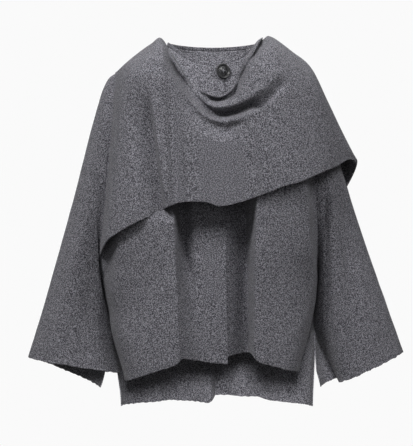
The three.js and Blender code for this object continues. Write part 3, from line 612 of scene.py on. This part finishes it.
def lay(mesh, surface, us, vs, slack=SLACK["depth"], seed=1.0, cut=False):
    """Adds a grid of cloth to a bmesh: us run to the right and vs down, as seen from outside.

    The UV map is the cloth's own length and width in metres. cut leaves the bottom edge uneven.
    """
    columns, rows = len(us) - 1, len(vs) - 1
    made = bmesh.ops.create_grid(mesh, x_segments=columns, y_segments=rows, size=0.5)["verts"]
    col = np.array([round((vert.co.x + 0.5) * columns) for vert in made])
    row = np.array([round((0.5 - vert.co.y) * rows) for vert in made])
    points = surface(us[col], vs[row])
    order = np.lexsort((col, row))
    field = points[order].reshape(rows + 1, columns + 1, 3)

    across = np.linalg.norm(np.diff(field, axis=1), axis=2)
    down = np.linalg.norm(np.diff(field, axis=0), axis=2)
    flat_u = np.pad(np.cumsum(across, axis=1), ((0, 0), (1, 0)))
    flat_u -= flat_u[:, columns // 2, None]
    flat_v = np.pad(np.cumsum(down, axis=0), ((1, 0), (0, 0)))

    # Slack in the cloth: shallow dents square to it, and a cut edge that doesn't run quite true.
    gu = np.gradient(field, axis=1)
    gv = np.gradient(field, axis=0)
    outward = np.cross(gv, gu)
    outward /= np.maximum(np.linalg.norm(outward, axis=2, keepdims=True), 1e-9)
    dents = wander(flat_u / SLACK["across"] + flat_v / SLACK["slant"], seed)
    dents = dents * wander(flat_v / SLACK["down"], seed + 2)
    field = field + outward * (slack * dents)[..., None]
    if cut:
        stray = edge_wave(flat_u[-1], seed)[:, None]
        field[-1] += stray * gv[-1] / np.linalg.norm(gv[-1], axis=1)[:, None]

    uv_layer = mesh.loops.layers.uv.verify()
    flat = {}
    for at, position in enumerate(order):
        vert = made[position]
        vert.co = Vector(field[at // (columns + 1), at % (columns + 1)]) * MM
        flat[vert] = (flat_u.flat[at] * MM, -flat_v.flat[at] * MM)
    for face in {face for vert in made for face in vert.link_faces}:
        for loop in face.loops:
            loop[uv_layer].uv = flat[loop.vert]


def edge_wave(at, seed):
    """How far a cut edge strays from its line, in millimetres."""
    return sum(height * wander(at / length, seed + shift) for height, length, shift in EDGE_WAVES)


EDGE_ROUND = 0.0008          # how far a wall's edges are rounded, in metres
EDGE_ANGLE = 65              # sharper turns than this, in degrees, are edges of the wall


def cloth_piece(name, bm, wall, material, node_names, edge=EDGE_ROUND):
    """Finishes a laid bmesh as a wall of cloth with rounded edges that stands for its nodes."""
    mesh = bpy.data.meshes.new(name)
    bm.to_mesh(mesh)
    bm.free()
    mesh.shade_smooth()
    piece = bpy.data.objects.new(name, mesh)
    bpy.context.scene.collection.objects.link(piece)
    mesh.materials.append(material)
    thick = piece.modifiers.new("wall", "SOLIDIFY")
    thick.thickness = wall
    thick.offset = -1
    round_off = piece.modifiers.new("rounded edge", "BEVEL")
    round_off.width = edge
    round_off.segments = 2
    round_off.limit_method = "ANGLE"
    round_off.angle_limit = math.radians(EDGE_ANGLE)
    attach(piece, "root")
    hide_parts(*node_names)
    return piece


# ---------------------------------------------------------------- materials

def linear(code):
    """sRGB hex to the linear colour that shaders take."""
    shades = [int(code[i:i + 2], 16) / 255 for i in (1, 3, 5)]
    return tuple(c / 12.92 if c <= 0.04045 else ((c + 0.055) / 1.055) ** 2.4 for c in shades) + (1,)


def add(tree, kind, settings=None, **inputs):
    """Adds a node with its settings, and sets or links its inputs."""
    made = tree.nodes.new(kind)
    for key, value in (settings or {}).items():
        setattr(made, key, value)
    for key, value in inputs.items():
        socket = made.inputs[int(key[1:])] if key[1:].isdigit() else made.inputs[key.replace("_", " ")]
        if isinstance(value, bpy.types.NodeSocket):
            tree.links.new(value, socket)
        else:
            socket.default_value = value
    return made


def ramp(tree, value, *stops):
    """A colour ramp through stops of place and colour."""
    made = add(tree, "ShaderNodeValToRGB", Fac=value)
    ends = made.color_ramp.elements
    while len(ends) < len(stops):
        ends.new(0.5)
    for end, (place, colour) in zip(ends, stops):
        end.position = place
        end.color = colour
    return made.outputs["Color"]


def start_material(name):
    material = bpy.data.materials.new(name)
    material.use_nodes = True
    tree = material.node_tree
    tree.nodes.clear()
    return material, tree


def felted_knit(name, dark, middle, light, grain, wale, course, relief):
    """Felted wool knit: marl fibres of three greys, a raised nap that hides most of the stitches."""
    material, tree = start_material(name)
    place = add(tree, "ShaderNodeTexCoord")
    flat = add(tree, "ShaderNodeSeparateXYZ", Vector=place.outputs["UV"])
    marl = add(tree, "ShaderNodeTexNoise", Vector=place.outputs["Object"], Scale=1 / grain,
               Detail=1.5, Roughness=0.6)
    colour = ramp(tree, marl.outputs["Fac"], (0.4, dark), (0.5, middle), (0.6, light))
    # Stitches: slanted legs that meet at the middle of each wale.
    leg = add(tree, "ShaderNodeMath", {"operation": "PINGPONG"}, _0=flat.outputs["X"], _1=wale / 2)
    slant = add(tree, "ShaderNodeMath", {"operation": "MULTIPLY_ADD"}, _0=leg.outputs[0],
                _1=1.1, _2=flat.outputs["Y"])
    turn = add(tree, "ShaderNodeMath", {"operation": "MULTIPLY"}, _0=slant.outputs[0],
               _1=2 * math.pi / course)
    rows = add(tree, "ShaderNodeMath", {"operation": "SINE"}, _0=turn.outputs[0])
    nap = add(tree, "ShaderNodeTexNoise", Vector=place.outputs["Object"], Scale=0.6 / grain,
              Detail=3.0, Roughness=0.75)
    height = add(tree, "ShaderNodeMath", {"operation": "MULTIPLY_ADD"}, _0=rows.outputs[0],
                 _1=0.18, _2=nap.outputs["Fac"])
    bump = add(tree, "ShaderNodeBump", Height=height.outputs[0], Strength=0.9, Distance=relief)
    shader = add(tree, "ShaderNodeBsdfPrincipled", Roughness=0.95, Normal=bump.outputs[0],
                 Base_Color=colour)
    shader.inputs["Specular IOR Level"].default_value = 0.2
    shader.inputs["Sheen Weight"].default_value = 0.08
    shader.inputs["Sheen Roughness"].default_value = 0.5
    add(tree, "ShaderNodeOutputMaterial", Surface=shader.outputs[0])
    return material


def horn_resin():
    """Polished horn resin: nearly black, cloudy, with small sharp highlights on its rings."""
    name = "polished horn resin"
    if name in bpy.data.materials:
        return bpy.data.materials[name]
    material, tree = start_material(name)
    place = add(tree, "ShaderNodeTexCoord")
    cloud = add(tree, "ShaderNodeTexNoise", Vector=place.outputs["Object"], Scale=140.0, Detail=3.0)
    colour = ramp(tree, cloud.outputs["Fac"], (0.35, linear("#101012")), (0.7, linear("#26262a")))
    shader = add(tree, "ShaderNodeBsdfPrincipled", Base_Color=colour)
    shader.inputs["Roughness"].default_value = 0.3
    add(tree, "ShaderNodeOutputMaterial", Surface=shader.outputs[0])
    return material


def sewing_thread():
    """Twisted grey thread: a matt mid grey that stands out on the dark button."""
    material, tree = start_material("twisted sewing thread")
    shader = add(tree, "ShaderNodeBsdfPrincipled")
    shader.inputs["Base Color"].default_value = linear("#77777d")
    shader.inputs["Roughness"].default_value = 0.8
    add(tree, "ShaderNodeOutputMaterial", Surface=shader.outputs[0])
    return material


# ---------------------------------------------------------------- what a user would change

class CoatCloth(bpy.types.PropertyGroup):
    wall: FloatProperty(name="Wall", description="Thickness of the felted knit",
                        default=0.0024, min=0.001, max=0.004, unit="LENGTH")
    grain: FloatProperty(name="Marl grain", description="Size of the mixed tufts of fibre",
                         default=0.0017, unit="LENGTH")
    wale: FloatProperty(name="Wale", description="Width of a column of stitches",
                        default=0.0032, unit="LENGTH")
    course: FloatProperty(name="Course", description="Height of a row of stitches",
                          default=0.0024, unit="LENGTH")
    dark: FloatVectorProperty(name="Dark wool", description="Darkest fibres of the marl",
                              default=linear("#35353a"), size=4, subtype="COLOR")
    middle: FloatVectorProperty(name="Middle wool", description="Most of the fibres",
                                default=linear("#5d5c62"), size=4, subtype="COLOR")
    light: FloatVectorProperty(name="Light wool", description="Lightest fibres of the marl",
                               default=linear("#96959c"), size=4, subtype="COLOR")


class CoatStage(bpy.types.PropertyGroup):
    floor_drop: FloatProperty(name="Floor drop", description="From the coat's hem to the floor",
                              default=0.75, unit="LENGTH")
    camera_distance: FloatProperty(name="Camera distance", description="From the origin's plane",
                                   default=4.0, unit="LENGTH")
    framed_width: FloatProperty(name="Framed width", description="Width that the camera takes in",
                                default=0.8054, unit="LENGTH")


def knit(context):
    """The coat's one knit, made once."""
    found = bpy.data.materials.get("felted marl knit")
    if found:
        return found
    cloth = context.scene.coat_cloth
    return felted_knit("felted marl knit", cloth.dark, cloth.middle, cloth.light, cloth.grain,
                       cloth.wale, cloth.course, relief=0.0009)


# ---------------------------------------------------------------- operators

# Steps of cloth across and down each mesh, and the place on its surface where each is even.
BODY_GRID = dict(across=130, across_at=0.6, down=190, down_at=0.5)
SLEEVE_GRID = dict(across=76, across_at=0.5, down=160, down_at=0.3)
TAIL_GRID = dict(down=130, down_at=0.5)
BAND_GRID = dict(across=300, across_at=0.5, down=5)
SHAWL_STEPS_PER_ROW = 12
SHAWL_DOWN_AT = 0.45
SHAWL_STRETCHES = ((0.3, 62), (1, 72))   # finer near the top: share of the way reached, steps

# Steps round the button, its holes and its thread, and the cutter's length in metres.
ROUND = dict(disc=96, hole=24, thread=12)
CUTTER_LENGTH = 0.02
BUTTON_MERGE = 0.000002

# Lamps, from the coat's middle: degrees round from the front toward +X, degrees up, metres, metres
# and watts. One lights only the back and the sleeves' back halves, whose insides face it.
INNER_LAYERS = ("back_cloth", "sleeve_right_back_cloth", "sleeve_left_back_cloth")
LAMPS = [
    dict(name="key", azimuth=-34, elevation=46, distance=3.0, size=0.9, power=78),
    dict(name="second key", azimuth=42, elevation=42, distance=3.0, size=1.1, power=42),
    dict(name="front fill", azimuth=0, elevation=10, distance=3.4, size=1.8, power=9),
    dict(name="inner fill", azimuth=0, elevation=11, distance=3.4, size=0.6, power=120,
         lights=INNER_LAYERS),
    dict(name="back fill", azimuth=180, elevation=35, distance=3.0, size=2.0, power=40),
]
SWEEP_SIZE = 9
WORLD_LIGHT = 0.08           # what the pale world gives to the coat, out of what the camera sees
CAMERA_X = -0.0127
CAMERA_DROP = 0.0016         # of the camera below the coat's middle


class COAT_OT_body(bpy.types.Operator):
    """Lays the two fronts and the back"""
    bl_idname = "coat.body"
    bl_label = "Body panels"

    def execute(self, context):
        for name, surface, flat, area in (
                ("front_right", front_right, (0.37, 0.73), 0.180),
                ("front_left", front_left, (0.34, 0.71), 0.186),
                ("back", back, (0.55, 0.80), 0.320)):
            bm = bmesh.new()
            lay(bm, surface, *even_grid(surface, BODY_GRID), cut=True, seed=len(name))
            piece = cloth_piece(name + "_cloth", bm, context.scene.coat_cloth.wall, knit(context),
                                [name])
        return {"FINISHED"}


class COAT_OT_sleeves(bpy.types.Operator):
    """Lays the two halves of each sleeve"""
    bl_idname = "coat.sleeves"
    bl_label = "Sleeves"

    def execute(self, context):
        for side, rings, slit, folds in (
                ("right", RIGHT_SLEEVE, RIGHT_SLIT, RIGHT_SLEEVE_FOLDS),
                ("left", LEFT_SLEEVE, LEFT_SLIT, LEFT_SLEEVE_FOLDS)):
            for face in ("front", "back"):
                name = f"sleeve_{side}_{face}"
                surface = sleeve(rings, slit, face, folds, (side == "right") == (face == "front"))
                bm = bmesh.new()
                lay(bm, surface, *even_grid(surface, SLEEVE_GRID), cut=True,
                    seed=len(name) + len(side))
                piece = cloth_piece(name + "_cloth", bm, context.scene.coat_cloth.wall,
                                    knit(context), [name])
        return {"FINISHED"}


class COAT_OT_shawl(bpy.types.Operator):
    """Drapes the shawl panel from the right armhole over the left shoulder"""
    bl_idname = "coat.shawl"
    bl_label = "Shawl panel"

    def execute(self, context):
        last = len(SHAWL["x"]) - 1
        across = last * SHAWL_STEPS_PER_ROW
        tail_across = (last - TAIL_START) * SHAWL_STEPS_PER_ROW
        columns = np.arange(across + 1) / across
        tail = np.arange(tail_across + 1) / tail_across
        rows = graded(shawl_front, SHAWL_DOWN_AT, *SHAWL_STRETCHES)
        tail_rows = even(shawl_tail, TAIL_GRID["down_at"], TAIL_GRID["down"], "v")
        bm = bmesh.new()
        lay(bm, shawl_front, columns, rows, slack=0, cut=True)
        # The tail's columns run the other way as seen from behind.
        lay(bm, lambda u, v: shawl_tail(1 - u, v), 1 - tail[::-1], tail_rows, slack=0, cut=True)
        bmesh.ops.remove_doubles(bm, verts=bm.verts[:], dist=MERGE)
        piece = cloth_piece("shawl_cloth", bm, context.scene.coat_cloth.wall, knit(context),
                            ["scarf_front", "scarf_back"])
        return {"FINISHED"}


class COAT_OT_neckband(bpy.types.Operator):
    """Binds the neck"""
    bl_idname = "coat.neckband"
    bl_label = "Neck binding"

    def execute(self, context):
        def surface(u, v):
            points = neck_line(u)
            rise = (1 - v) * BAND["height"]
            lean = points[:, :2] / np.linalg.norm(points[:, :2], axis=1)[:, None]
            points[:, :2] -= lean * (BAND["lean"] * rise)[:, None]
            points[:, 2] += rise
            return points
        bm = bmesh.new()
        columns = even(surface, BAND_GRID["across_at"], BAND_GRID["across"], "u")
        lay(bm, surface, columns, np.linspace(0, 1, BAND_GRID["down"] + 1), slack=0)
        piece = cloth_piece("neck_binding", bm, BAND["wall"] * MM, knit(context),
                            ["neckband"], edge=BAND["edge"] * MM)
        return {"FINISHED"}


class COAT_OT_button(bpy.types.Operator):
    """Sews the button on"""
    bl_idname = "coat.button"
    bl_label = "Button"

    def execute(self, context):
        low, high = (Vector(corner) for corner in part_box("button"))
        place = Matrix.Translation((low + high) / 2) @ Matrix.Rotation(
            math.radians(BUTTON["yaw"]), 4, "Z") @ Matrix.Rotation(
            math.radians(90 - BUTTON["pitch"]), 4, "X")
        bm = bmesh.new()
        profile = [bm.verts.new((radius * MM, 0, height * MM)) for radius, height in BUTTON_PROFILE]
        edges = [bm.edges.new(pair) for pair in zip(profile, profile[1:])]
        bmesh.ops.spin(bm, geom=profile + edges, cent=(0, 0, 0), axis=(0, 0, 1), use_merge=True,
                       angle=math.tau, steps=ROUND["disc"])
        bmesh.ops.remove_doubles(bm, verts=bm.verts[:], dist=BUTTON_MERGE)
        bmesh.ops.recalc_face_normals(bm, faces=bm.faces[:])
        disc = self.part("button_disc", bm, place, horn_resin())
        offset = BUTTON["hole_offset"] * MM
        radius = BUTTON["hole"] * MM
        bm = bmesh.new()
        for quarter in range(4):
            turn = Matrix.Rotation(math.tau * quarter / 4, 4, "Z")
            bmesh.ops.create_cone(bm, cap_ends=True, segments=ROUND["hole"], radius1=radius,
                                  radius2=radius, depth=CUTTER_LENGTH,
                                  matrix=turn @ Matrix.Translation((offset, 0, 0)))
        cutter = self.part("hole_cutter", bm, place, horn_resin())
        holes = disc.modifiers.new("holes", "BOOLEAN")
        holes.operation = "DIFFERENCE"
        holes.object = cutter
        with context.temp_override(object=disc, active_object=disc):
            bpy.ops.object.modifier_apply(modifier=holes.name)
        bpy.data.objects.remove(cutter)

        radius = BUTTON["thread"] * MM
        strand = Matrix.Translation((offset / 2, 0, BUTTON["thread_rise"] * MM)) @ Matrix.Rotation(
            math.radians(90), 4, "Y")
        bm = bmesh.new()
        for quarter in range(4):
            turn = Matrix.Rotation(math.tau * quarter / 4, 4, "Z")
            bmesh.ops.create_cone(bm, cap_ends=True, segments=ROUND["thread"], radius1=radius,
                                  radius2=radius, depth=offset * BUTTON["thread_reach"],
                                  matrix=turn @ strand)
        stitches = self.part("button_thread", bm, place, sewing_thread())
        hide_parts("button")
        for piece in (disc, stitches):
            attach(piece, "root")
        return {"FINISHED"}

    def part(self, name, bm, place, material):
        """Ends a bmesh as an object whose place is in its mesh."""
        bmesh.ops.transform(bm, matrix=place, verts=bm.verts[:])
        mesh = bpy.data.meshes.new(name)
        bm.to_mesh(mesh)
        bm.free()
        mesh.shade_smooth()
        mesh.materials.append(material)
        made = bpy.data.objects.new(name, mesh)
        bpy.context.scene.collection.objects.link(made)
        return made


class COAT_OT_stage(bpy.types.Operator):
    """Sets the sweep, the lights and the camera"""
    bl_idname = "coat.stage"
    bl_label = "Stage"

    def execute(self, context):
        stage = context.scene.coat_stage
        low, high = (Vector(corner) for corner in CAD_BOX)
        floor_z = low.z - stage.floor_drop
        white, tree = start_material("lit white sweep")
        glow = add(tree, "ShaderNodeEmission", Color=linear("#fafafa"), Strength=1.0)
        add(tree, "ShaderNodeOutputMaterial", Surface=glow.outputs[0])
        bm = bmesh.new()
        bmesh.ops.create_grid(bm, x_segments=1, y_segments=1, size=SWEEP_SIZE)
        bmesh.ops.translate(bm, verts=bm.verts[:], vec=(0, 0, floor_z))
        mesh = bpy.data.meshes.new("sweep")
        bm.to_mesh(mesh)
        bm.free()
        mesh.materials.append(white)
        sweep = bpy.data.objects.new("sweep", mesh)
        context.scene.collection.objects.link(sweep)
        sweep.visible_diffuse = False

        world = bpy.data.worlds.new("pale studio")
        context.scene.world = world
        world.use_nodes = True
        tree = world.node_tree
        tree.nodes.clear()
        path = add(tree, "ShaderNodeLightPath")
        strength = add(tree, "ShaderNodeMapRange", Value=path.outputs["Is Camera Ray"],
                       To_Min=WORLD_LIGHT, To_Max=1.0)
        ground = add(tree, "ShaderNodeBackground", Color=linear("#fafafa"),
                     Strength=strength.outputs[0])
        add(tree, "ShaderNodeOutputWorld", Surface=ground.outputs[0])

        middle = (low + high) / 2
        inner = bpy.data.collections.new("inner layers")
        for name in INNER_LAYERS:
            inner.objects.link(bpy.data.objects[name])
        for row in LAMPS:
            lamp = bpy.data.lights.new(row["name"], "AREA")
            lamp.size = row["size"]
            lamp.energy = row["power"]
            lamp_object = bpy.data.objects.new(row["name"], lamp)
            context.scene.collection.objects.link(lamp_object)
            if "lights" in row:
                lamp_object.light_linking.receiver_collection = inner
            turn = Matrix.Rotation(math.radians(row["azimuth"]), 4, "Z") @ Matrix.Rotation(
                math.radians(90 - row["elevation"]), 4, "X")
            lamp_object.matrix_world = Matrix.Translation(middle) @ turn @ Matrix.Translation(
                (0, 0, row["distance"]))

        camera = bpy.data.cameras.new("camera")
        camera.sensor_fit = "HORIZONTAL"
        camera.lens = camera.sensor_width * stage.camera_distance / stage.framed_width
        camera_object = bpy.data.objects.new("camera", camera)
        context.scene.collection.objects.link(camera_object)
        camera_object.location = (CAMERA_X, -stage.camera_distance, middle.z - CAMERA_DROP)
        camera_object.rotation_euler = (math.radians(90), 0, 0)
        context.scene.camera = camera_object
        context.scene.view_settings.view_transform = "Standard"
        return {"FINISHED"}


class COAT_PT_panel(bpy.types.Panel):
    """The coat's sizes and pieces"""
    bl_label = "Knit coat"
    bl_idname = "COAT_PT_panel"
    bl_space_type = "VIEW_3D"
    bl_region_type = "UI"
    bl_category = "Knit coat"

    def draw(self, context):
        for group in (context.scene.coat_cloth, context.scene.coat_stage):
            for key in group.__annotations__:
                self.layout.prop(group, key)
        for operator in STEPS:
            self.layout.operator(operator.bl_idname)


STEPS = (COAT_OT_body, COAT_OT_sleeves, COAT_OT_shawl, COAT_OT_neckband, COAT_OT_button,
         COAT_OT_stage)
CLASSES = (CoatCloth, CoatStage) + STEPS + (COAT_PT_panel,)


def register():
    for made in CLASSES:
        bpy.utils.register_class(made)
    bpy.types.Scene.coat_cloth = PointerProperty(type=CoatCloth)
    bpy.types.Scene.coat_stage = PointerProperty(type=CoatStage)


def unregister():
    del bpy.types.Scene.coat_stage
    del bpy.types.Scene.coat_cloth
    for made in reversed(CLASSES):
        bpy.utils.unregister_class(made)


def main():
    register()
    for step in STEPS:
        group, name = step.bl_idname.split(".")
        getattr(getattr(bpy.ops, group), name)()


if __name__ == "__main__":
    main()
